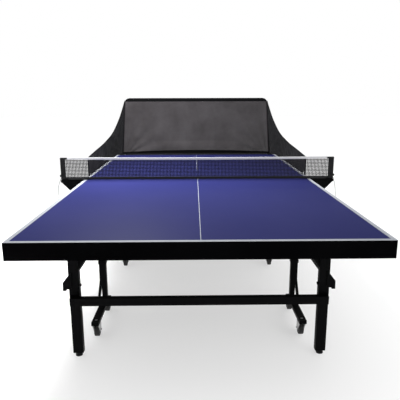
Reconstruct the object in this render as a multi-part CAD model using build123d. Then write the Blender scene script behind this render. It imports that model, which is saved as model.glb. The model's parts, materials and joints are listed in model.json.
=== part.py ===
from build123d import *
import math
import os

os.makedirs("parts", exist_ok=True)

# Ping pong table with two folding halves, each on its own rolling trolley,
# with a table net and a ball catch net on the far half. Millimetres, Z up.
# X runs across the table, Y along it. The net stands at Y = 0 before the shift below.

# playing surface
TABLE_LENGTH = 2740
TABLE_WIDTH = 1525
TABLE_HEIGHT = 760
PANEL = 22
APRON_DEPTH = 75
APRON_SKIN = 2
APRON_TUBE = 24
HALF_GAP = 3
# folding geometry, near half; the far half is its mirror image
PIVOT_Y = -480
PIVOT_Z = 714
HINGE_Y = -900
HINGE_Z = 714
LINK_DROP = 328
# legs
LEG_IN = 598
LEG_OUT = 650
LEG_HALF = 15
LEG_BOTTOM = 18
BAR_LOW = 294
BAR_HIGH = 334
BAR_END = 642
# trolley
POST_IN = 548
POST_OUT = 588
LINK_IN = 656
LINK_OUT = 666
RAIL_LOW = 86
RAIL_HIGH = 106
WHEEL_R = 37.5
WHEEL_WIDE = 26
CASTER_Y = -725
FIXED_Y = -392
TRAIL = 24
# table net
NET_TOP = 912.5
NET_LOW = 762
NET_REACH = 915
CAP_IN = 872
STRING_R = 1.5
# catch net
CATCH_Y = 1420
CATCH_TOP = 1286
CATCH_X = 709
CATCH_TOP_X = 672
WING_X = 790
WING_START = 270
WING_BEND = 1150
ROD_BEND = 1400
ROD_Z = 735
ROD_R = 6
# the model stands centred on its own footprint
Y_SHIFT = -30

HALF_L = TABLE_LENGTH / 2
HALF_W = TABLE_WIDTH / 2
UNDER = TABLE_HEIGHT - PANEL
APRON_LOW = TABLE_HEIGHT - APRON_DEPTH
SCREW_TOP = APRON_LOW - 0.5


def block(x0, x1, y0, y1, z0, z1):
    """A box between the given limits."""
    body = Box(abs(x1 - x0), abs(y1 - y0), abs(z1 - z0))
    return Pos((x0 + x1) / 2, (y0 + y1) / 2, (z0 + z1) / 2) * body


def rod_x(x0, x1, y, z, r):
    """A round bar along X."""
    return Pos((x0 + x1) / 2, y, z) * Rot(0, 90, 0) * Cylinder(r, abs(x1 - x0))


def rod_y(y0, y1, x, z, r):
    """A round bar along Y."""
    return Pos(x, (y0 + y1) / 2, z) * Rot(90, 0, 0) * Cylinder(r, abs(y1 - y0))


def rod_z(z0, z1, x, y, r):
    """A round bar along Z."""
    return Pos(x, y, (z0 + z1) / 2) * Cylinder(r, abs(z1 - z0))


def plate_xz(points, y0, y1):
    """A plate with its outline in X and Z and its thickness along Y."""
    outline = make_face(Polyline(*[(x, y0, z) for x, z in points], close=True))
    return extrude(outline, y1 - y0, dir=(0, 1, 0))


def plate_yz(points, x0, x1):
    """A plate with its outline in Y and Z and its thickness along X."""
    outline = make_face(Polyline(*[(x0, y, z) for y, z in points], close=True))
    return extrude(outline, x1 - x0, dir=(1, 0, 0))


def both(body):
    """A body and its mirror image across the middle of the table."""
    return body + mirror(body, about=Plane.YZ)


def left_of(body):
    """The right-hand body moved to the left side."""
    return mirror(body, about=Plane.YZ)


def far_of(body):
    """The near body moved to the far half."""
    return mirror(body, about=Plane.XZ)


def save(body, name):
    """Write one sub-part in the shared frame."""
    shape = Pos(0, Y_SHIFT, 0) * body
    pieces = shape.solids()
    shape = pieces[0] if len(pieces) == 1 else Compound(pieces)
    export_step(shape, f"parts/{name}.step")


def bent(points, most, name):
    """Straight runs and tangent arcs through the points, as one wire."""
    spots = [Vector(*p) for p in points]
    edges = []
    radii = []
    start = spots[0]
    for before, here, after in zip(spots, spots[1:], spots[2:]):
        run_in = (before - here).length
        run_out = (after - here).length
        u = (before - here).normalized()
        v = (after - here).normalized()
        turn = math.pi - math.acos(max(-1, min(1, u.dot(v))))
        radius = min(most, 0.45 * min(run_in, run_out) / math.tan(turn / 2))
        cut = radius * math.tan(turn / 2)
        into = here + u * cut
        out = here + v * cut
        middle = here + (u + v).normalized() * (radius / math.cos(turn / 2) - radius)
        edges.append(Edge.make_line(start, into))
        edges.append(Edge.make_three_point_arc(into, middle, out))
        radii.append(round(radius, 1))
        start = out
    edges.append(Edge.make_line(start, spots[-1]))
    wire = Wire(edges)
    print(name, "radii", radii, "length", round(wire.length, 1))
    return wire


def tube(points, r, most, name):
    """A round tube along a bent path."""
    path = bent(points, most, name)
    ring = Plane(origin=path @ 0, z_dir=path % 0) * Circle(r)
    body = sweep(ring, path=path)
    print(name, "volume", round(body.volume), "of", round(math.pi * r * r * path.length))
    return body


# ---------- the near half; every piece is mirrored for the far half ----------


def top_panel():
    """The playing surface board."""
    return block(-HALF_W + 2, HALF_W - 2, -HALF_L + 2, -HALF_GAP, UNDER, TABLE_HEIGHT)


def apron():
    """The steel skirt round three sides, a thin skin over a square tube."""
    skin = block(-HALF_W, HALF_W, -HALF_L, -HALF_GAP, APRON_LOW, TABLE_HEIGHT)
    inner = block(-HALF_W + 2, HALF_W - 2, -HALF_L + 2, 10, APRON_LOW - 5, TABLE_HEIGHT + 5)
    tube_out = block(-HALF_W, HALF_W, -HALF_L, -HALF_GAP, APRON_LOW, UNDER)
    wide = APRON_TUBE + APRON_SKIN
    tube_in = block(-HALF_W + wide, HALF_W - wide, -HALF_L + wide, 10, APRON_LOW - 5, UNDER + 5)
    return (skin - inner) + (tube_out - tube_in)


def underframe():
    """Cross rails under the board with the leg and trolley brackets."""
    side = HALF_W - APRON_TUBE - APRON_SKIN
    strip = UNDER - 6
    body = block(-side, side, -1165, -1135, UNDER - 30, UNDER)
    body += block(-535, 535, -115, -85, UNDER - 30, UNDER)
    body += block(-side, side, -715, -685, strip, UNDER)
    for x in (-400, 400):
        body += block(x - 20, x + 20, -HALF_L + 26, -100, strip, UNDER)
    for s in (-1, 1):
        for near, away in ((585, 593), (654, 662)):
            body += block(s * near, s * away, HINGE_Y - 16, HINGE_Y + 16, HINGE_Z, UNDER)
            body += rod_x(s * near, s * away, HINGE_Y, HINGE_Z, 16)
        body += block(s * 380, s * 690, HINGE_Y - 24, HINGE_Y + 24, UNDER - 4, UNDER)
        body += block(s * 535, s * 543, PIVOT_Y - 18, PIVOT_Y + 18, PIVOT_Z, UNDER)
        body += rod_x(s * 535, s * 543, PIVOT_Y, PIVOT_Z, 18)
        body += block(s * 380, s * 543, PIVOT_Y - 40, PIVOT_Y + 40, UNDER - 4, UNDER)
        body += block(s * 505, s * 535, PIVOT_Y - 4, PIVOT_Y + 4, PIVOT_Z + 15, UNDER)
        body -= rod_x(s * 580, s * 670, HINGE_Y, HINGE_Z, 6)
        body -= rod_x(s * 532, s * 546, PIVOT_Y, PIVOT_Z, 8.3)
    return body


def leg_frame():
    """Two legs, a low crossbar, a top tube and diagonal gussets."""
    front = HINGE_Y - LEG_HALF
    back = HINGE_Y + LEG_HALF
    body = block(-BAR_END, BAR_END, front - 35, front - 5, BAR_LOW, BAR_HIGH)
    body += block(-560, 560, HINGE_Y - 10, HINGE_Y + 10, 680, 700)
    for s in (-1, 1):
        body += block(s * LEG_IN, s * LEG_OUT, front, back, LEG_BOTTOM, 723)
        body += block(s * LEG_IN, s * BAR_END, front - 5, front, BAR_LOW, BAR_HIGH)
        body += block(s * 560, s * LEG_IN, HINGE_Y - 10, HINGE_Y + 10, 680, 694)
        gusset = [(s * LEG_IN, 470), (s * LEG_IN, 690), (s * 456, 690), (s * 456, 682)]
        body += plate_xz(gusset, HINGE_Y - 3, HINGE_Y + 3)
        rib = [(s * LEG_IN, 470), (s * LEG_IN, 490), (s * 470, 682), (s * 456, 682)]
        body += plate_xz(rib, HINGE_Y - 10, HINGE_Y + 10)
        hook = [(636, 456), (650, 442), (678, 406), (679, 363), (662, 363), (657, 371), (636, 371)]
        body += plate_xz([(s * x, z) for x, z in hook], front - 6, front)
        body -= rod_x(s * 590, s * 660, HINGE_Y, HINGE_Z, 6.3)
        body -= rod_x(s * 590, s * 660, HINGE_Y, HINGE_Z - LINK_DROP, 5)
        body -= rod_z(0, 75, s * (LEG_IN + LEG_OUT) / 2, HINGE_Y, 5.3)
    return body


def leg_pins():
    """Hinge bolts that hold the legs in the brackets."""
    pin = rod_x(580, 667, HINGE_Y, HINGE_Z, 6)
    pin += rod_x(662, 667, HINGE_Y, HINGE_Z, 10)
    pin += rod_x(580, 585, HINGE_Y, HINGE_Z, 10)
    return both(pin)


def link_bolts():
    """Bolts through the legs that carry the fold links."""
    z = HINGE_Z - LINK_DROP
    pin = rod_x(591, LINK_OUT + 3, HINGE_Y, z, 5)
    pin += rod_x(LINK_OUT + 1, LINK_OUT + 5, HINGE_Y, z, 8)
    pin += rod_x(591, LEG_IN, HINGE_Y, z, 8)
    return both(pin)


def trolley():
    """The rolling base with its two posts and the outriggers for the links."""
    link_z = PIVOT_Z - LINK_DROP
    front = PIVOT_Y - 15
    back = PIVOT_Y + 15
    middle = (POST_IN + POST_OUT) / 2
    body = block(-POST_IN, POST_IN, front, back, RAIL_LOW, RAIL_HIGH)
    body += block(-POST_IN, POST_IN, front, back, 540, 570)
    for s in (-1, 1):
        body += block(s * POST_IN, s * POST_OUT, CASTER_Y - 35, FIXED_Y - 34, RAIL_LOW, RAIL_HIGH)
        body += block(s * POST_IN, s * POST_OUT, FIXED_Y - 34, FIXED_Y + 18, RAIL_LOW, RAIL_LOW + 6)
        body += block(s * POST_IN, s * POST_OUT, front, back, RAIL_HIGH, PIVOT_Z + 13)
        body += block(s * (POST_IN - 3), s * (POST_OUT + 3), front - 3, back + 3, 344, 362)
        body += block(s * POST_OUT, s * (LINK_IN - 1), PIVOT_Y - 13, PIVOT_Y + 13, link_z - 13, link_z + 13)
        stay = [(570, 240), (POST_OUT, 240), (607, RAIL_HIGH), (607, RAIL_LOW), (570, RAIL_LOW)]
        body += plate_xz([(s * x, z) for x, z in stay], front, back)
        slot = [(578, 212), (575, RAIL_HIGH), (595, RAIL_HIGH)]
        body -= plate_xz([(s * x, z) for x, z in slot], front - 1, back + 1)
        for cheek in (s * middle - 19, s * middle + 15):
            body += block(cheek, cheek + 4, FIXED_Y - 14, FIXED_Y + 14, 28, RAIL_LOW)
        body -= rod_x(s * middle - 30, s * middle + 30, FIXED_Y, WHEEL_R, 5)
        body -= rod_x(s * POST_IN, s * POST_OUT, PIVOT_Y, PIVOT_Z, 8)
        body -= rod_x(s * 630, s * 660, PIVOT_Y, link_z, 5)
        body -= rod_z(70, 120, s * middle, CASTER_Y, 8.3)
    return body


def trolley_bolts():
    """Pivot bolts at the post tops, link bolts and fixed wheel axles."""
    low_link = PIVOT_Z - LINK_DROP
    body = rod_x(530, POST_OUT, PIVOT_Y, PIVOT_Z, 8)
    body += rod_x(525, 532, PIVOT_Y, PIVOT_Z, 12)
    body += rod_x(POST_OUT, POST_OUT + 4, PIVOT_Y, PIVOT_Z, 12)
    body += rod_x(630, LINK_OUT + 3, PIVOT_Y, low_link, 5)
    body += rod_x(LINK_OUT + 1, LINK_OUT + 5, PIVOT_Y, low_link, 8)
    middle = (POST_IN + POST_OUT) / 2
    body += rod_x(middle - 22, middle + 22, FIXED_Y, WHEEL_R, 5)
    body += rod_x(middle - 24, middle - 19, FIXED_Y, WHEEL_R, 8)
    body += rod_x(middle + 19, middle + 24, FIXED_Y, WHEEL_R, 8)
    return both(body)


def link():
    """One flat fold link on the right, from the trolley to the leg."""
    z = PIVOT_Z - LINK_DROP
    body = block(LINK_IN, LINK_OUT, HINGE_Y, PIVOT_Y, z - 13, z + 13)
    for y in (HINGE_Y, PIVOT_Y):
        body += rod_x(LINK_IN, LINK_OUT, y, z, 13)
    body -= rod_x(LINK_IN - 2, LINK_OUT + 2, HINGE_Y, z, 6)
    body -= rod_x(LINK_IN - 2, LINK_OUT + 2, PIVOT_Y, z, 5.3)
    return body


def foot():
    """A levelling foot on the right, with its stem up in the leg."""
    x = (LEG_IN + LEG_OUT) / 2
    body = rod_z(0, 8, x, HINGE_Y, 18)
    body += rod_z(8, 14, x, HINGE_Y, 12)
    body += rod_z(14, 70, x, HINGE_Y, 5)
    return body


def wheel(y):
    """One rubber-tyred wheel on the right."""
    x = (POST_IN + POST_OUT) / 2
    body = rod_x(x - WHEEL_WIDE / 2, x + WHEEL_WIDE / 2, y, WHEEL_R, WHEEL_R)
    body = fillet(body.edges().filter_by(GeomType.CIRCLE), 4)
    for s in (-1, 1):
        body -= rod_x(x + s * 9, x + s * 20, y, WHEEL_R, 24)
    body += rod_x(x - 14, x + 14, y, WHEEL_R, 11)
    return body - rod_x(x - 20, x + 20, y, WHEEL_R, 5.3)


def fork():
    """The swivelling caster fork on the right, with its stem and axle."""
    x = (POST_IN + POST_OUT) / 2
    axle_y = CASTER_Y + TRAIL
    body = rod_z(80, 104, x, CASTER_Y, 8)
    body += rod_z(80, 85.5, x, CASTER_Y, 19)
    body += block(x - 19, x + 19, CASTER_Y - 18, axle_y + 8, 77, 81)
    cheek = [(CASTER_Y - 18, 81), (CASTER_Y - 18, 74), (axle_y - 12, 28)]
    cheek += [(axle_y + 12, 28), (axle_y + 8, 81)]
    body += plate_yz(cheek, x - 19, x - 15)
    body += plate_yz(cheek, x + 15, x + 19)
    body += rod_x(x - 23, x + 23, axle_y, WHEEL_R, 5)
    return body


def pedal():
    """The brake pedal behind the caster fork, on its own pin."""
    x = (POST_IN + POST_OUT) / 2
    y = CASTER_Y + TRAIL + 14
    body = block(x - 12, x + 12, y, y + 42, 77, 81)
    body += rod_x(x - 12, x + 12, y, 79, 3)
    return body


def keep(body):
    """The piece as it is."""
    return body


def save_half(tag, place):
    """Write every piece of one half; place moves the near shape to its half."""
    save(place(top_panel()), f"{tag}_top_panel")
    save(place(apron()), f"{tag}_apron")
    save(place(underframe()), f"{tag}_underframe")
    save(place(leg_frame()), f"{tag}_leg_frame")
    save(place(leg_pins()), f"{tag}_leg_pins")
    save(place(link_bolts()), f"{tag}_link_bolts")
    save(place(trolley()), f"{tag}_trolley")
    save(place(trolley_bolts()), f"{tag}_trolley_bolts")
    for side, turn in (("right", keep), ("left", left_of)):
        save(place(turn(link())), f"{tag}_link_{side}")
        save(place(turn(foot())), f"{tag}_foot_{side}")
        save(place(turn(fork())), f"{tag}_fork_{side}")
        save(place(turn(pedal())), f"{tag}_brake_{side}")
        save(place(turn(wheel(CASTER_Y + TRAIL))), f"{tag}_caster_wheel_{side}")
        save(place(turn(wheel(FIXED_Y))), f"{tag}_fixed_wheel_{side}")


save_half("near", keep)
save_half("far", far_of)

# ---------- the table net, clamped to the far half ----------

save(block(-868, 868, -1, 1, NET_LOW + 15.5, NET_TOP - 15.5), "net_mesh")
save(block(0.5 - CAP_IN, CAP_IN - 0.5, -1.5, 1.5, NET_TOP - 15, NET_TOP), "net_tape")
save(block(-868, 868, -1.5, 1.5, NET_LOW, NET_LOW + 15), "net_hem")


def net_post():
    """The right net post with its cap, tension clip and side knob."""
    body = block(885.5, NET_REACH - 6, -8, 8, 766.5, 901)
    body += block(NET_REACH - 12, NET_REACH, -9, 9, 766.5, 905)
    body += block(CAP_IN, NET_REACH, -9, 9, 897.5, 909)
    body += rod_y(-20, -8, NET_REACH - 3, 790, 8)
    return body


def net_arm():
    """The right clamp arm that grips the table edge, with a clip for the string."""
    jaw = [(712, 760), (712, 766), (NET_REACH, 766), (NET_REACH, 738), (807, 628)]
    jaw += [(716, 628), (716, 643), (HALF_W, 643), (HALF_W, 760)]
    body = plate_xz(jaw, 5, 21)
    body += block(870, NET_REACH, -9, 21, 752, 766)
    body += block(NET_REACH - 4, NET_REACH + 9, 6, 16, 740, 756)
    return body - rod_z(620, 650, 738, 13, 5.3)


def clamp_screw(x, y, low, high):
    """A vertical clamp screw with a round knob below."""
    body = rod_z(low, high, x, y, 5)
    body += rod_z(low - 18, low, x, y, 17)
    return body


save(net_post(), "net_post_right")
save(left_of(net_post()), "net_post_left")
save(net_arm(), "net_arm_right")
save(left_of(net_arm()), "net_arm_left")
save(clamp_screw(738, 13, 612, SCREW_TOP), "net_screw_right")
save(left_of(clamp_screw(738, 13, 612, SCREW_TOP)), "net_screw_left")

cord = [(917, 0, 772), (926, -2, 748), (935, -5, 700), (940, -2, 652), (946, 4, 606)]
save(tube(cord, STRING_R, 400, "net_cord_right"), "net_cord_right")
cord = [(-917, 0, 772), (-929, -2, 748), (-941, -6, 700), (-945, -3, 650), (-952, 3, 602)]
save(tube(cord, STRING_R, 400, "net_cord_left"), "net_cord_left")

# ---------- the ball catch net round the far end ----------

half_frame = [(WING_X, WING_START - 8, 878), (WING_X, WING_START - 8, ROD_Z), (WING_X, ROD_BEND, ROD_Z)]
half_frame += [(CATCH_X, CATCH_Y, ROD_Z), (CATCH_TOP_X, CATCH_Y, CATCH_TOP)]
frame_path = half_frame + [(-x, y, z) for x, y, z in reversed(half_frame)]
catch_frame = tube(frame_path, ROD_R, 40, "catch_frame")
save(catch_frame, "catch_frame")

low_x = CATCH_X - 13
top_x = CATCH_TOP_X - 11
outline = [(-low_x, 772), (low_x, 772), (top_x, CATCH_TOP - 9), (-top_x, CATCH_TOP - 9)]
back = plate_xz(outline, CATCH_Y - 1, CATCH_Y + 1)
back = fillet(back.edges().filter_by(Axis.Y).sort_by(Axis.Z)[-2:], 34)
save(back, "catch_back")


def wing():
    """The right wing: a low side wall that climbs round the corner to the back panel."""
    low = ROD_Z + ROD_R + 2
    side = [(WING_START, low + 46), (WING_START + 46, low), (WING_BEND - 30, low), (WING_BEND, 768)]
    side += [(WING_BEND, 950), (837, 917), (547, 899), (WING_START, 880)]
    body = plate_yz(side, WING_X - 1, WING_X + 1)
    run = Vector(CATCH_X - 4 - WING_X, CATCH_Y - WING_BEND, 0)
    along = run.length - 12
    slope = Plane(origin=(WING_X, WING_BEND, 0), x_dir=run, z_dir=run.cross(Vector(0, 0, 1)))
    up = 1 if slope.y_dir.Z > 0 else -1
    corner = [(0, 768), (along, 768), (along - 8, 1225), (along * 0.88, 1190), (along * 0.74, 1116)]
    corner += [(along * 0.5, 1022), (along * 0.25, 972), (0, 950)]
    face = slope * make_face(Polyline(*[(a, up * b) for a, b in corner], close=True))
    return body + extrude(face, 1, both=True)


save(wing(), "catch_wing_right")
save(left_of(wing()), "catch_wing_left")

gutter = [(1374, 757), (1380, 706), (1398, 698), (1412, 706), (1418, 766)]
gutter += [(1420, 766), (1414, 704), (1398, 696), (1378, 704), (1372, 757)]
save(plate_yz(gutter, -680, 680), "catch_gutter")


def catch_clamps():
    """The end clamps and the side clips that carry the catch net frame."""
    body = block(CATCH_X - 22, CATCH_X + 22, HALF_L, 1432, 664, 764)
    body += block(CATCH_X - 22, CATCH_X + 22, 1336, HALF_L + 4, TABLE_HEIGHT, 764)
    body += block(CATCH_X - 22, CATCH_X + 22, 1336, HALF_L + 4, 664, 676)
    body -= rod_z(650, 680, CATCH_X, 1354, 5.3)
    for y in (330, 720, 1110):
        body += block(HALF_W, WING_X + 9, y - 9, y + 9, ROD_Z - 11, ROD_Z + 4)
    return both(body) - catch_frame


save(catch_clamps(), "catch_clamps")
save(clamp_screw(CATCH_X, 1354, 646, SCREW_TOP), "catch_screw_right")
save(left_of(clamp_screw(CATCH_X, 1354, 646, SCREW_TOP)), "catch_screw_left")
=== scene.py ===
import json
import math

import bmesh
import bpy
from mathutils import Matrix, Vector


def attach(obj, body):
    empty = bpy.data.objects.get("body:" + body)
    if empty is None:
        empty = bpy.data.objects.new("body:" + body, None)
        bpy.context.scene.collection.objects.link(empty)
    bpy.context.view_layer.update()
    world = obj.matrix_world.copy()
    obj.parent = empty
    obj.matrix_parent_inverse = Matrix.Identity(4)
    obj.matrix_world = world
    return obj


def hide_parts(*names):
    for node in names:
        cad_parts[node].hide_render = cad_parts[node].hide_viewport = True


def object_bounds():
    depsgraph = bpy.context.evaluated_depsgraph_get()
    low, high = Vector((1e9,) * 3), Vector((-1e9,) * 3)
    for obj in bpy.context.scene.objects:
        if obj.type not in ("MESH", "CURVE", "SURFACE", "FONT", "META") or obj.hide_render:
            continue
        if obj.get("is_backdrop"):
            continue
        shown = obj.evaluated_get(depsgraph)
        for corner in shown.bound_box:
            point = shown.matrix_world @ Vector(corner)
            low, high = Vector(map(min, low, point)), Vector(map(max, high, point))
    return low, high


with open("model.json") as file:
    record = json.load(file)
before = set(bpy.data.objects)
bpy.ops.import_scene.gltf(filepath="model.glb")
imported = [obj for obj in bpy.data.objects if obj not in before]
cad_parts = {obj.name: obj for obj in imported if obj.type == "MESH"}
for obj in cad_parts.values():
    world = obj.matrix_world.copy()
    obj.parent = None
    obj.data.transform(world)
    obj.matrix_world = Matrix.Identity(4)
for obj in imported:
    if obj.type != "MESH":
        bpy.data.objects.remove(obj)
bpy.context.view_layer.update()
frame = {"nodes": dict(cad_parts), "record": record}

NODES = frame["nodes"]

# places in metres; y is measured in the frame, where the net line lies a little off zero
NET_Y = -0.03
END_Y = 1.370  # board end, from the net line
SIDE_LINE_X = 0.7425  # inner edge of a side line
END_LINE_WIDTH = 0.020
CENTRE_LINE_HALF = 0.0015
BOARD_PAINT_Z = 0.7385  # the painted lines wrap the board's edge down to here
BOARD_UNDER_Z = 0.7382  # the dark underside shows below this
SKIRT_RIM_Z = 0.7592  # the skirt's top edge is white above this
CASTER_Y, FIXED_WHEEL_Y = 0.701, 0.392  # axles, from the net line
AXLE_Z, HUB_RADIUS = 0.0375, 0.027

# finishes that more than one material uses
COAL = (0.003, 0.003, 0.0035)
SOOT = (0.008, 0.008, 0.009)


# ---------- materials ----------


class Mat:
    """A material with a Principled shader and short helpers for its node tree.

    Every piece sits at the origin, so object coordinates are places in the frame, in metres.
    """

    def __init__(self, name):
        self.mat = bpy.data.materials.new(name)
        self.mat.use_nodes = True
        self.tree = self.mat.node_tree
        self.bsdf = self.tree.nodes["Principled BSDF"]
        coord = self.tree.nodes.new("ShaderNodeTexCoord")
        self.place = coord.outputs["Object"]
        self.parts = None

    def put(self, socket, value):
        if isinstance(value, bpy.types.NodeSocket):
            self.tree.links.new(value, socket)
        else:
            socket.default_value = value

    def set(self, **values):
        for key, value in values.items():
            self.put(self.bsdf.inputs[key.replace("_", " ")], value)

    def math(self, op, a, b=0.0):
        n = self.tree.nodes.new("ShaderNodeMath")
        n.operation = op
        self.put(n.inputs[0], a)
        self.put(n.inputs[1], b)
        return n.outputs[0]

    def wave(self, along, rate):
        return self.math("SINE", self.math("MULTIPLY", along, rate))

    def away(self, value, centre):
        return self.math("ABSOLUTE", self.math("SUBTRACT", value, centre))

    def either(self, *masks):
        out = masks[0]
        for mask in masks[1:]:
            out = self.math("MAXIMUM", out, mask)
        return out

    def axis(self, letter):
        if self.parts is None:
            self.parts = self.tree.nodes.new("ShaderNodeSeparateXYZ")
            self.put(self.parts.inputs[0], self.place)
        return self.parts.outputs[letter]

    def noise(self, scale, detail=4.0, rough=0.55, stretch=None):
        vector = self.place
        if stretch:
            m = self.tree.nodes.new("ShaderNodeMapping")
            self.put(m.inputs["Vector"], vector)
            m.inputs["Scale"].default_value = stretch
            vector = m.outputs[0]
        n = self.tree.nodes.new("ShaderNodeTexNoise")
        self.put(n.inputs["Vector"], vector)
        n.inputs["Scale"].default_value = scale
        n.inputs["Detail"].default_value = detail
        n.inputs["Roughness"].default_value = rough
        return n.outputs["Fac"]

    def between(self, value, low, high, out_low=0.0, out_high=1.0):
        n = self.tree.nodes.new("ShaderNodeMapRange")
        self.put(n.inputs["Value"], value)
        n.inputs["From Min"].default_value = low
        n.inputs["From Max"].default_value = high
        n.inputs["To Min"].default_value = out_low
        n.inputs["To Max"].default_value = out_high
        return n.outputs[0]

    def mix(self, share, a, b):
        n = self.tree.nodes.new("ShaderNodeMix")
        n.data_type = "RGBA"
        self.put(n.inputs["Factor"], share)
        for socket, value in ((n.inputs[6], a), (n.inputs[7], b)):
            if isinstance(value, tuple):
                value = (*value[:3], 1.0)
            self.put(socket, value)
        return n.outputs[2]

    def attr(self, name):
        n = self.tree.nodes.new("ShaderNodeAttribute")
        n.attribute_name = name
        return n.outputs["Fac"]

    def bump(self, height, strength, distance=0.001):
        n = self.tree.nodes.new("ShaderNodeBump")
        self.put(n.inputs["Height"], height)
        n.inputs["Strength"].default_value = strength
        n.inputs["Distance"].default_value = distance
        self.put(self.bsdf.inputs["Normal"], n.outputs[0])


def powder(name, colour=COAL):
    """Powder-coated steel: near black, fine grain, a little dust."""
    m = Mat(name)
    wide = m.noise(5.0, 3.0)
    fine = m.noise(900.0, 2.0)
    dust = m.between(wide, 0.45, 0.75)
    m.set(Base_Color=m.mix(m.math("MULTIPLY", dust, 0.25), colour, (0.009, 0.009, 0.009)))
    m.set(Roughness=m.between(wide, 0.3, 0.7, 0.42, 0.58), Specular_IOR_Level=0.03)
    m.bump(fine, 0.25, 0.0004)
    return m.mat


def zinc(name):
    """Streaky zinc plate."""
    m = Mat(name)
    streak = m.noise(60.0, 4.0, 0.6, (1.0, 1.0, 6.0))
    m.set(Base_Color=m.mix(streak, (0.36, 0.36, 0.37), (0.6, 0.6, 0.6)), Metallic=1.0)
    m.set(Roughness=m.between(streak, 0.3, 0.7, 0.28, 0.5))
    m.bump(m.noise(700.0), 0.12, 0.0003)
    return m.mat


def plastic(name, colour, rough=0.5):
    """Moulded plastic with a fine grain."""
    m = Mat(name)
    grain = m.noise(1400.0, 2.0)
    wide = m.noise(20.0, 3.0)
    pale = tuple(min(1.0, c * 1.5 + 0.004) for c in colour)
    m.set(Base_Color=m.mix(m.between(wide, 0.3, 0.8, 0.0, 0.5), colour, pale))
    m.set(Roughness=m.between(wide, 0.3, 0.7, rough - 0.08, rough + 0.1), Specular_IOR_Level=0.2)
    m.bump(grain, 0.2, 0.0003)
    return m.mat


def board(name, end):
    """Blue playing surface with white side, end and centre lines."""
    m = Mat(name)
    x = m.math("ABSOLUTE", m.axis("X"))
    y = m.axis("Y")
    wide = m.noise(1.6, 3.0)
    speck = m.noise(260.0, 3.0, 0.7)
    side = m.math("GREATER_THAN", x, SIDE_LINE_X)
    at_end = m.math("LESS_THAN", m.away(y, end), END_LINE_WIDTH)
    centre = m.math("LESS_THAN", x, CENTRE_LINE_HALF)
    line = m.either(side, at_end, centre)
    line = m.math("MULTIPLY", line, m.math("GREATER_THAN", m.axis("Z"), BOARD_PAINT_Z))
    blue = m.mix(m.between(wide, 0.3, 0.7), (0.021, 0.024, 0.110), (0.025, 0.028, 0.124))
    blue = m.mix(m.between(speck, 0.66, 0.8, 0.0, 0.25), blue, (0.045, 0.052, 0.17))
    white = m.mix(m.between(m.noise(40.0), 0.4, 0.8), (0.42, 0.44, 0.48), (0.36, 0.38, 0.42))
    grain = m.noise(90.0, 5.0, 0.6, (1.0, 8.0, 1.0))
    wood = m.mix(grain, (0.016, 0.013, 0.011), (0.035, 0.029, 0.024))
    under = m.math("LESS_THAN", m.axis("Z"), BOARD_UNDER_Z)
    m.set(Base_Color=m.mix(under, m.mix(line, blue, white), wood))
    m.set(Roughness=m.between(speck, 0.2, 0.8, 0.36, 0.46), Specular_IOR_Level=0.010)
    m.bump(m.noise(1100.0, 2.0), 0.12, 0.0003)
    return m.mat


def skirt(name):
    """Black apron steel whose thin top edge carries the end of the white line."""
    m = Mat(name)
    wide = m.noise(4.0, 3.0)
    top = m.math("GREATER_THAN", m.axis("Z"), SKIRT_RIM_Z)
    black = m.mix(m.between(wide, 0.4, 0.8), (0.0012, 0.0012, 0.0015), (0.0025, 0.0025, 0.003))
    m.set(Base_Color=m.mix(top, black, (0.62, 0.64, 0.68)))
    m.set(Roughness=m.between(wide, 0.3, 0.7, 0.45, 0.6), Specular_IOR_Level=0.006)
    m.bump(m.noise(1000.0, 2.0), 0.2, 0.0003)
    return m.mat


def wheel_mat(name, y):
    """Rubber tyre round a grey hub, told apart by distance from the axle."""
    m = Mat(name)
    dy = m.math("SUBTRACT", m.axis("Y"), y)
    dz = m.math("SUBTRACT", m.axis("Z"), AXLE_Z)
    r = m.math("SQRT", m.math("ADD", m.math("MULTIPLY", dy, dy), m.math("MULTIPLY", dz, dz)))
    hub = m.math("LESS_THAN", r, HUB_RADIUS)
    turn = m.math("ARCTAN2", dz, dy)
    spoke = m.between(m.wave(turn, 5.0), -0.2, 0.2)
    grey = m.mix(spoke, (0.05, 0.05, 0.052), (0.12, 0.12, 0.125))
    dirt = m.noise(70.0, 4.0)
    tyre = m.mix(m.between(dirt, 0.4, 0.8), (0.011, 0.011, 0.011), (0.035, 0.033, 0.031))
    m.set(Base_Color=m.mix(hub, tyre, grey), Roughness=m.between(dirt, 0.3, 0.7, 0.6, 0.8))
    tread = m.wave(turn, 90.0)
    m.bump(m.math("MULTIPLY", tread, m.math("SUBTRACT", 1.0, hub)), 0.4, 0.0008)
    return m.mat


def thread_grid(m, u, v, pitch, width):
    """One where a thread runs, zero in the holes, for a square net."""
    runs = []
    for along in (u, v):
        cell = m.math("FRACT", m.math("DIVIDE", along, pitch))
        runs.append(m.math("GREATER_THAN", m.away(cell, 0.5), 0.5 - 0.5 * width / pitch))
    return m.either(*runs)


def net_mat(name):
    """Dark knotted net, seen through."""
    m = Mat(name)
    u, v = m.attr("u"), m.attr("v")
    grid = thread_grid(m, u, v, pitch=0.0095, width=0.0044)
    m.set(Base_Color=m.mix(m.noise(150.0), (0.010, 0.009, 0.011), (0.022, 0.020, 0.024)))
    m.set(Roughness=0.85, Alpha=grid)
    m.bump(m.noise(2500.0), 0.4, 0.0005)
    return m.mat


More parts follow.
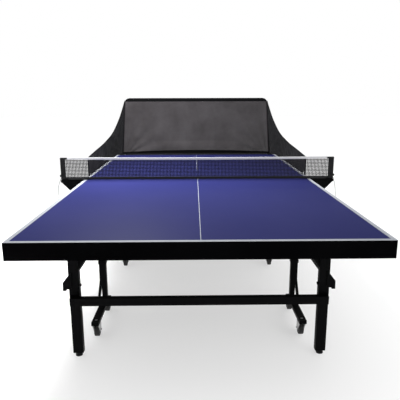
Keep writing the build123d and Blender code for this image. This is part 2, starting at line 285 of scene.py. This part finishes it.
def cloth_mat(name, colour, pale, cover, banded=False):
    """Fine mesh cloth with black hems, part seen through; the back panel is banded high by a black
    hem, and low by a black arched band that is partly its bottom hem and partly painted shade of
    the pocket beneath.
    """
    m = Mat(name)
    u, v, hem = m.attr("u"), m.attr("v"), m.attr("hem")
    weave = thread_grid(m, u, v, pitch=0.0030, width=0.0012)
    edge = m.math("LESS_THAN", hem, 0.0085)
    if banded:
        # painted shade: below an arch across the back panel's foot the cloth is coal black and
        # opaque, partly its bottom hem and partly the shade of the pocket beneath it
        x_squared = m.math("MULTIPLY", m.axis("X"), m.axis("X"))
        arch = m.math("SUBTRACT", 0.800, m.math("MULTIPLY", 0.036, x_squared))
        low_hem_and_painted_shade = m.math("LESS_THAN", m.axis("Z"), arch)
        high_band = m.math("GREATER_THAN", m.axis("Z"), 1.2615)
        edge = m.either(edge, low_hem_and_painted_shade, high_band)
    wide = m.noise(7.0, 4.0)
    soft = m.mix(m.between(wide, 0.3, 0.7), colour, pale)
    # hems and bands are coal black and opaque; the low band on the back panel is partly painted
    # shade
    m.set(Base_Color=m.mix(edge, soft, COAL), Specular_IOR_Level=0.1)
    m.set(Roughness=m.between(wide, 0.2, 0.8, 0.75, 0.95), Alpha=m.either(weave, cover, edge))
    m.bump(m.math("ADD", weave, m.noise(35.0, 4.0)), 0.25, 0.0008)
    return m.mat


def tape_mat(name, colour, pale):
    """Woven tape with a line of stitches along each edge."""
    m = Mat(name)
    u, v = m.attr("u"), m.attr("v")
    weave = m.math("MULTIPLY", m.wave(u, 4200.0), m.wave(v, 4200.0))
    stitch = m.math("LESS_THAN", m.away(m.attr("hem"), 0.003), 0.0006)
    dash = m.math("GREATER_THAN", m.math("FRACT", m.math("DIVIDE", u, 0.005)), 0.35)
    sewn = m.math("MULTIPLY", stitch, dash)
    wide = m.noise(12.0, 3.0)
    base = m.mix(m.between(wide, 0.35, 0.75), colour, pale)
    thread = tuple(0.6 * c for c in colour)
    m.set(Base_Color=m.mix(sewn, base, thread), Roughness=m.between(wide, 0.2, 0.8, 0.75, 0.9))
    m.bump(m.math("ADD", m.math("MULTIPLY", weave, 0.3), sewn), 0.3, 0.0005)
    return m.mat


BLACK = powder("black powder coat")
STEEL = zinc("zinc plate")
DARK = plastic("black plastic", SOOT)
KNOB = plastic("knob plastic", (0.014, 0.014, 0.015), 0.4)
SKIRT = skirt("apron steel")
RODS = powder("catch frame paint", SOOT)


# ---------- hard pieces, from the CAD with eased edges ----------


def shade(obj, angle=35):
    """Smooth shading, with sharp edges where faces turn by more than the angle in degrees."""
    for p in obj.data.polygons:
        p.use_smooth = True
    edges = bmesh.new()
    edges.from_mesh(obj.data)
    for e in edges.edges:
        sharp = len(e.link_faces) != 2 or e.calc_face_angle(0) > math.radians(angle)
        e.smooth = not sharp
    edges.to_mesh(obj.data)
    edges.free()


def body_of(node):
    """The body that a CAD node belongs to."""
    for body, members in frame["record"]["behaviour"]["bodies"].items():
        if node in members:
            return body
    return None


def dress(node, material, ease=0.0012):
    """A copy of a CAD node with its finish and edges eased by the given radius; 0 leaves them."""
    src = NODES[node]
    mesh = src.data.copy()
    obj = bpy.data.objects.new(f"vis_{node}", mesh)
    bpy.context.collection.objects.link(obj)
    obj.matrix_world = src.matrix_world
    work = bmesh.new()
    work.from_mesh(mesh)
    bmesh.ops.remove_doubles(work, verts=work.verts, dist=1e-6)
    flat = math.radians(0.6)
    bmesh.ops.dissolve_limit(work, angle_limit=flat, verts=work.verts, edges=work.edges)
    work.to_mesh(mesh)
    work.free()
    mesh.materials.clear()
    mesh.materials.append(material)
    for p in mesh.polygons:
        p.material_index = 0
    if mesh.has_custom_normals:
        with bpy.context.temp_override(object=obj, active_object=obj, selected_objects=[obj]):
            bpy.ops.mesh.customdata_custom_splitnormals_clear()
    shade(obj)
    if ease:
        bevel = obj.modifiers.new("ease", "BEVEL")
        bevel.width = ease
        bevel.segments = 2
        bevel.limit_method = "ANGLE"
        bevel.angle_limit = math.radians(50)
        bevel.use_clamp_overlap = True
        bevel.harden_normals = True
    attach(obj, body_of(node))
    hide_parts(node)


for tag, sign in (("near", -1), ("far", 1)):
    dress(f"{tag}_top_panel", board(f"{tag} playing surface", sign * END_Y + NET_Y), 0)
    dress(f"{tag}_apron", SKIRT, 0.0006)
    for name in ("underframe", "leg_frame", "trolley", "link_bolts"):
        dress(f"{tag}_{name}", BLACK)
    for name in ("leg_pins", "trolley_bolts"):
        dress(f"{tag}_{name}", STEEL, 0.0008)
    rolling = wheel_mat(f"{tag} caster wheel", sign * CASTER_Y + NET_Y)
    fixed = wheel_mat(f"{tag} fixed wheel", sign * FIXED_WHEEL_Y + NET_Y)
    for side in ("right", "left"):
        dress(f"{tag}_link_{side}", BLACK, 0.001)
        dress(f"{tag}_foot_{side}", DARK, 0.001)
        dress(f"{tag}_fork_{side}", STEEL, 0.0006)
        dress(f"{tag}_brake_{side}", KNOB, 0.001)
        dress(f"{tag}_caster_wheel_{side}", rolling, 0)
        dress(f"{tag}_fixed_wheel_{side}", fixed, 0)
for side in ("right", "left"):
    dress(f"net_post_{side}", DARK)
    dress(f"net_arm_{side}", BLACK)
    dress(f"net_screw_{side}", KNOB, 0.001)
    dress(f"catch_screw_{side}", KNOB, 0.001)
dress("catch_frame", RODS, 0)
dress("catch_clamps", DARK)


# ---------- cloth ----------


def grid_cloth(name, body, rows, material):
    """A cloth surface from rows of points; stores lengths along and up, and distance to the hem."""
    across = len(rows[0])
    up = len(rows)
    points = [p for row in rows for p in row]
    faces = []
    for j in range(up - 1):
        for i in range(across - 1):
            a = j * across + i
            faces.append((a, a + 1, a + 1 + across, a + across))
    mesh = bpy.data.meshes.new(name)
    mesh.from_pydata([tuple(p) for p in points], [], faces)
    obj = bpy.data.objects.new(name, mesh)
    bpy.context.collection.objects.link(obj)
    u = [[0.0] * across for _ in rows]
    v = [[0.0] * across for _ in rows]
    for j in range(up):
        for i in range(across):
            if i:
                u[j][i] = u[j][i - 1] + (rows[j][i] - rows[j][i - 1]).length
            if j:
                v[j][i] = v[j - 1][i] + (rows[j][i] - rows[j - 1][i]).length
    lay = {key: mesh.attributes.new(key, "FLOAT", "POINT") for key in ("u", "v", "hem")}
    middle = up // 2
    for j in range(up):
        for i in range(across):
            k = j * across + i
            lay["u"].data[k].value = u[middle][i]
            lay["v"].data[k].value = v[j][i]
            edge = min(u[j][i], u[j][-1] - u[j][i], v[j][i], v[-1][i] - v[j][i])
            lay["hem"].data[k].value = edge
    for p in mesh.polygons:
        p.use_smooth = True
    mesh.materials.append(material)
    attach(obj, body)
    return obj


def steps(low, high, count):
    """Evenly spaced values from low to high."""
    return [low + (high - low) * i / (count - 1) for i in range(count)]


NET_HALF = 0.885
NET_LOW, NET_TOP = 0.7765, 0.8985


def sag(x, depth=0.005):
    """How far the net's top line dips between the posts."""
    return depth * (1 - (x / NET_HALF) ** 2)


# the table net and its two bands
net_rows = []
for t in steps(0, 1, 15):
    row = []
    for x in steps(-NET_HALF, NET_HALF, 221):
        top = NET_TOP - sag(x)
        wave = 0.0006 * math.sin(x * 23) * math.sin(math.pi * t)
        row.append(Vector((x, NET_Y + wave, NET_LOW + (top - NET_LOW) * t)))
    net_rows.append(row)
net = grid_cloth("table_net", "far_top", net_rows, net_mat("net cord"))
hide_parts("net_mesh")


def band(name, half, top, drop, material, dip, thick=0.0015):
    """A band of tape folded over a line: up the front, over and down the back."""
    ring = [(-thick, -drop), (-thick, -drop * 0.5), (-thick, -0.001), (-thick * 0.4, 0.0)]
    ring += [(thick * 0.4, 0.0), (thick, -0.001), (thick, -drop * 0.5), (thick, -drop)]
    rows = []
    for off, z in ring:
        row = []
        for x in steps(-half, half, 161):
            ripple = 0.0002 * math.sin(x * 70) if z < -0.004 else 0.0
            y = NET_Y + off + math.copysign(ripple, off) * 0.5
            row.append(Vector((x, y, top - dip(x) + z)))
        rows.append(row)
    return grid_cloth(name, "far_top", rows, material)


TAPE = tape_mat("white tape", (0.82, 0.82, 0.83), (0.90, 0.90, 0.90))
BAND = tape_mat("black band", (0.012, 0.012, 0.014), (0.02, 0.02, 0.022))
tape = band("net_tape_band", 0.8712, 0.9125, 0.015, TAPE, sag)
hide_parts("net_tape")
hem = band("net_hem_band", NET_HALF, 0.780, 0.018, BAND, lambda x: 0.0)
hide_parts("net_hem")

# the catch net: back panel with wrinkles that fan out of its lower corners
PANEL_LOW, PANEL_HIGH = 0.768, 1.2935
PANEL_Y = 1.3828
PANEL_CORNER = 0.046  # radius of the upper corners
POLE_FOOT, POLE_RISE = 0.735, 0.551  # height where the poles start, and how far they rise
POLE_LOW_X, POLE_HIGH_X = 0.709, 0.672  # the poles lean inwards
CLOTH = cloth_mat("catch cloth", (0.030, 0.026, 0.028), (0.052, 0.047, 0.050), 0.93, True)
WING = cloth_mat("wing cloth", (0.004, 0.004, 0.0055), (0.009, 0.0088, 0.0105), 0.96)


def folds(x, z):
    """How far the back panel stands off flat: creases fan from the lower corners."""
    out = 0.0
    for s in (-1, 1):
        # distance, angle and fade of the crease fan at this lower corner
        dx = 0.69 - s * x
        dz = z - 0.74
        r = math.hypot(dx, dz)
        a = math.atan2(dz, dx)
        fade = math.exp(-((r - 0.18) ** 2) / 0.10) * min(1.0, r / 0.1)
        out += 0.0042 * fade * math.sin(a * 17 + 0.8 * s + 3.5 * r)
    out += 0.0022 * math.sin(x * 9 + 1.3) * math.sin((z - 0.77) / 0.505 * math.pi)
    out += 0.0012 * math.sin(x * 31 + z * 12)
    return out


WRAP = 0.007  # how far the cloth reaches round the poles
back_rows = []
for z in steps(PANEL_LOW, PANEL_HIGH, 89):
    row = []
    share = (z - POLE_FOOT) / POLE_RISE
    room = POLE_LOW_X + (POLE_HIGH_X - POLE_LOW_X) * share + WRAP
    drop = PANEL_HIGH - z
    if drop < PANEL_CORNER:
        room -= PANEL_CORNER - math.sqrt(max(0.0, PANEL_CORNER**2 - (PANEL_CORNER - drop) ** 2))
    for x in steps(-room, room, 211):
        inside = room - abs(x)
        edge = max(0.0, min(1.0, inside / 0.05, (z - PANEL_LOW) / 0.03 + 0.2, drop / 0.04))
        curl = 0.0065 * (1 - max(0.0, min(1.0, inside / WRAP, drop / WRAP)) ** 0.5)
        lift = 0.010 * math.sin(math.pi * min(1.0, (z - PANEL_LOW) / 0.12)) * (1 - (x / room) ** 2)
        row.append(Vector((x, PANEL_Y + curl + (folds(x, z) - lift) * edge, z)))
    back_rows.append(row)
back = grid_cloth("catch_back_panel", "far_top", back_rows, CLOTH)
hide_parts("catch_back")


def curve_at(marks, s):
    """A smooth curve through marks of distance and value (Catmull-Rom with even ends)."""
    if s <= marks[0][0]:
        return marks[0][1]
    for k in range(len(marks) - 1):
        (a, va), (b, vb) = marks[k], marks[k + 1]
        if s <= b:
            before = marks[k - 1] if k else (2 * a - b, 2 * va - vb)
            after = marks[k + 2] if k + 2 < len(marks) else (2 * b - a, 2 * vb - va)
            ma = (vb - before[1]) / (b - before[0]) * (b - a)
            mb = (after[1] - va) / (after[0] - a) * (b - a)
            t = (s - a) / (b - a)
            t2, t3 = t * t, t * t * t
            start = (2 * t3 - 3 * t2 + 1) * va + (t3 - 2 * t2 + t) * ma
            return start + (3 * t2 - 2 * t3) * vb + (t3 - t2) * mb
    return marks[-1][1]


# The wings: each mark is a distance along the wing from its front end, and a value there.
# TOP_MARKS are heights of the upper edge, X_MARKS and Y_MARKS the line of the wing above the
# table, and FOOT_X and FOOT_Y the line of its low edge.
WING_END = 1.150
WING_LOW = 0.743
FRONT_CUT = 0.046  # the low front corner is cut back by this much
TOP_MARKS = [(0.0, 0.880), (0.277, 0.899), (0.567, 0.917), (0.880, 0.950), (0.956, 0.979)]
TOP_MARKS += [(1.022, 1.033), (1.085, 1.116), (1.125, 1.205), (WING_END, 1.278)]
X_MARKS = [(0.0, 0.790), (0.567, 0.790), (0.880, 0.789)]
X_MARKS += [(0.970, 0.772), (1.060, 0.738), (WING_END, 0.694)]
Y_MARKS = [(0.0, 0.240), (0.567, 0.807), (0.880, 1.120)]
Y_MARKS += [(0.970, 1.212), (1.060, 1.298), (WING_END, 1.384)]
FOOT_X = [(0.0, 0.790), (0.880, 0.790), (1.000, 0.786), (1.080, 0.766), (WING_END, 0.713)]
FOOT_Y = [(0.0, 0.240), (0.880, 1.120), (1.000, 1.250), (1.080, 1.345), (WING_END, 1.384)]

for side, sx in (("right", 1), ("left", -1)):
    rows = []
    for t in steps(0, 1, 35):
        row = []
        for s in steps(0, WING_END, 201):
            low = WING_LOW + max(0.0, FRONT_CUT - s)
            top = curve_at(TOP_MARKS, s)
            high = min(1.0, t * 1.6)
            x = curve_at(FOOT_X, s) * (1 - high) + curve_at(X_MARKS, s) * high
            y = curve_at(FOOT_Y, s) * (1 - high) + curve_at(Y_MARKS, s) * high
            z = low + (top - low) * t
            # near its end the wing is drawn onto the panel's slanting edge
            reach = max(0.0, (s - 0.97) / 0.18) ** 2
            panel_x = 0.714 - 0.0372 * max(0.0, z - POLE_FOOT) / POLE_RISE
            x += (panel_x - X_MARKS[-1][1] * high - FOOT_X[-1][1] * (1 - high)) * reach
            edge = max(0.0, min(1.0, s / 0.05, (WING_END - s) / 0.03, t / 0.15, (1 - t) / 0.12))
            wave = 0.0036 * math.sin(s * 21 + 5 * t + sx) + 0.0022 * math.sin(s * 47 - 9 * t)
            fan = math.atan2(z - 0.76, 1.19 - s)
            wave += 0.0060 * math.sin(fan * 16 + sx) * math.exp(-((s - 1.02) ** 2) / 0.02)
            row.append(Vector((sx * (x + wave * edge), y, z)))
        rows.append(row)
    if sx < 0:
        rows = [list(reversed(r)) for r in rows]
    wing = grid_cloth(f"catch_wing_cloth_{side}", "far_top", rows, WING)
    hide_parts(f"catch_wing_{side}")

# gutter behind the table's end: a flap over the end line, then a rounded trough
profile = [(1.315, 0.7614), (1.328, 0.7616), (1.339, 0.7614), (1.3425, 0.7600)]
profile += [(1.343, 0.757), (1.346, 0.735), (1.349, 0.714), (1.355, 0.704), (1.368, 0.698)]
profile += [(1.380, 0.702), (1.385, 0.715), (1.387, 0.740), (1.3895, 0.780)]
FLAP_HALF, TROUGH_HALF = 0.682, 0.706
rows = []
for y, z in profile:
    row = []
    half = FLAP_HALF if z > 0.756 and y < 1.35 else TROUGH_HALF
    for x in steps(-half, half, 145):
        dip = 0.0015 * math.sin(x * 17 + z * 40) if z < 0.755 else 0.0
        scallop = 0.0030 * math.sin(x * 13) + 0.0018 * math.sin(x * 37 + 1)
        scallop *= max(0.0, (1.340 - y) / 0.025)
        lift = 0.0012 * (1 + math.sin(x * 29)) * max(0.0, (1.336 - y) / 0.021)
        row.append(Vector((x, y + scallop, z + dip + lift)))
    rows.append(row)
GUTTER = cloth_mat("gutter cloth", (0.012, 0.012, 0.014), (0.022, 0.021, 0.024), 0.97)
gutter = grid_cloth("catch_gutter_cloth", "far_top", rows, GUTTER)
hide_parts("catch_gutter")


# ---------- strings under the net posts ----------


def string_mat():
    """Grey twisted string."""
    m = Mat("string")
    climb = m.math("MULTIPLY", m.axis("Z"), 3000.0)
    twist = m.math("SINE", m.math("ADD", climb, m.math("MULTIPLY", m.axis("X"), 2500.0)))
    tone = m.between(twist, -1.0, 1.0)
    m.set(Base_Color=m.mix(tone, (0.07, 0.07, 0.068), (0.15, 0.15, 0.145)))
    m.set(Roughness=m.between(twist, -1.0, 1.0, 0.7, 0.85))
    m.bump(twist, 0.5, 0.0004)
    return m.mat


STRING = string_mat()
STRING_RADIUS = 0.0015
KNOT_RADIUS = 0.0040
# route of each string in mm from the net line, as in the CAD, and its length in m
RIGHT_ROUTE = [(917, 0, 772), (926, -2, 748), (935, -5, 700), (940, -2, 652), (946, 4, 606)]
LEFT_ROUTE = [(-917, 0, 772), (-929, -2, 748), (-941, -6, 700), (-945, -3, 650), (-952, 3, 602)]
strings = {"right": (RIGHT_ROUTE, 0.1694), "left": (LEFT_ROUTE, 0.1752)}
for side, (points, length) in strings.items():
    points = [Vector((x, y - 30, z)) / 1000 for x, y, z in points]
    curve = bpy.data.curves.new(f"net_string_{side}", "CURVE")
    curve.dimensions = "3D"
    curve.bevel_depth = STRING_RADIUS
    curve.bevel_resolution = 3
    curve.use_fill_caps = True
    curve.resolution_u = 16
    spline = curve.splines.new("NURBS")
    spline.points.add(len(points) - 1)
    for k, p in enumerate(points):
        spline.points[k].co = (*p, 1.0)
    spline.order_u = 3
    spline.use_endpoint_u = True
    curve.materials.append(STRING)
    obj = bpy.data.objects.new(f"net_string_{side}", curve)
    bpy.context.collection.objects.link(obj)
    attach(obj, "far_top")
    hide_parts(f"net_cord_{side}")
    knot_mesh = bpy.data.meshes.new(f"string_knot_{side}")
    work = bmesh.new()
    at_end = Matrix.Translation(points[-1])
    bmesh.ops.create_icosphere(work, subdivisions=3, radius=KNOT_RADIUS, matrix=at_end)
    for vert in work.verts:
        off = vert.co - points[-1]
        off *= 1 + 0.18 * math.sin(off.z * 2600 + math.atan2(off.y, off.x) * 2)
        off.z *= 1.2
        vert.co = points[-1] + off
    work.to_mesh(knot_mesh)
    work.free()
    knot_mesh.materials.append(STRING)
    for p in knot_mesh.polygons:
        p.use_smooth = True
    knot = bpy.data.objects.new(f"string_knot_{side}", knot_mesh)
    bpy.context.collection.objects.link(knot)
    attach(knot, "far_top")


# ---------- room, light and camera ----------

floor_mesh = bpy.data.meshes.new("floor")
floor_mesh.from_pydata([(-30, -30, 0), (30, -30, 0), (30, 30, 0), (-30, 30, 0)], [], [(0, 1, 2, 3)])
floor = bpy.data.objects.new("floor", floor_mesh)
bpy.context.collection.objects.link(floor)
ground = Mat("pale floor")
ground.set(Base_Color=ground.mix(ground.noise(0.6), (0.95, 0.95, 0.95), (0.97, 0.97, 0.97)))
ground.set(Specular_IOR_Level=0.1, Roughness=0.8)
floor_mesh.materials.append(ground.mat)
floor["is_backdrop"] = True

# the world lights softly, and its white shows behind the table
world = bpy.data.worlds.new("studio")
world.use_nodes = True
tree = world.node_tree
glow = tree.nodes["Background"]
glow.inputs["Color"].default_value = (1.0, 1.0, 1.0, 1.0)
glow.inputs["Strength"].default_value = 0.5
wall = tree.nodes.new("ShaderNodeBackground")
wall.inputs["Color"].default_value = (1.0, 1.0, 1.0, 1.0)
rays = tree.nodes.new("ShaderNodeLightPath")
pick = tree.nodes.new("ShaderNodeMixShader")
tree.links.new(rays.outputs["Is Camera Ray"], pick.inputs[0])
tree.links.new(glow.outputs[0], pick.inputs[1])
tree.links.new(wall.outputs[0], pick.inputs[2])
tree.links.new(pick.outputs[0], tree.nodes["World Output"].inputs[0])
bpy.context.scene.world = world


def lamp(name, place, target, size, power):
    """A soft rectangular lamp at a place, aimed at a target."""
    data = bpy.data.lights.new(name, "AREA")
    data.shape = "RECTANGLE"
    data.size, data.size_y = size
    data.energy = power
    obj = bpy.data.objects.new(name, data)
    bpy.context.collection.objects.link(obj)
    obj.location = place
    obj.rotation_euler = (Vector(target) - Vector(place)).to_track_quat("-Z", "Y").to_euler()
    obj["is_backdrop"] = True


lamp("key", (-0.55, 0.25, 1.95), (-0.35, 0.05, 0.76), (0.9, 0.9), 62)
lamp("fill", (3.2, -3.0, 2.6), (0, 0, 0.7), (3.0, 2.0), 12)
lamp("rim", (0.5, 4.0, 3.2), (0, 0.5, 0.8), (3.0, 1.5), 14)

# a sun that lights the floor alone, so that it stays as pale as the white behind it
wash_data = bpy.data.lights.new("floor wash", "SUN")
wash_data.energy = 1.8
wash_data.angle = 1.0
wash = bpy.data.objects.new("floor wash", wash_data)
bpy.context.collection.objects.link(wash)
only_floor = bpy.data.collections.new("floor only")
only_floor.objects.link(floor)
wash.light_linking.receiver_collection = only_floor
wash.light_linking.blocker_collection = only_floor
wash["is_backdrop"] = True

FOCAL_PX, IMAGE_PX, SENSOR = 458.478, 400, 36
cam_data = bpy.data.cameras.new("photo camera")
cam_data.lens = FOCAL_PX / IMAGE_PX * SENSOR
cam_data.sensor_width = SENSOR
cam = bpy.data.objects.new("photo camera", cam_data)
bpy.context.collection.objects.link(cam)
cam.location = (-0.0269, -3.0838, 1.3009)
pitch, yaw, roll = math.radians(12.6394), math.radians(-0.8012), math.radians(-0.1471)
turn = Matrix.Rotation(yaw, 4, "Z") @ Matrix.Rotation(math.radians(90) - pitch, 4, "X")
turn = turn @ Matrix.Rotation(roll, 4, "Z")
cam.rotation_euler = turn.to_euler()
cam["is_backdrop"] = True
scene = bpy.context.scene
scene.camera = cam
scene.view_settings.view_transform = "Standard"

low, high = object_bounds()
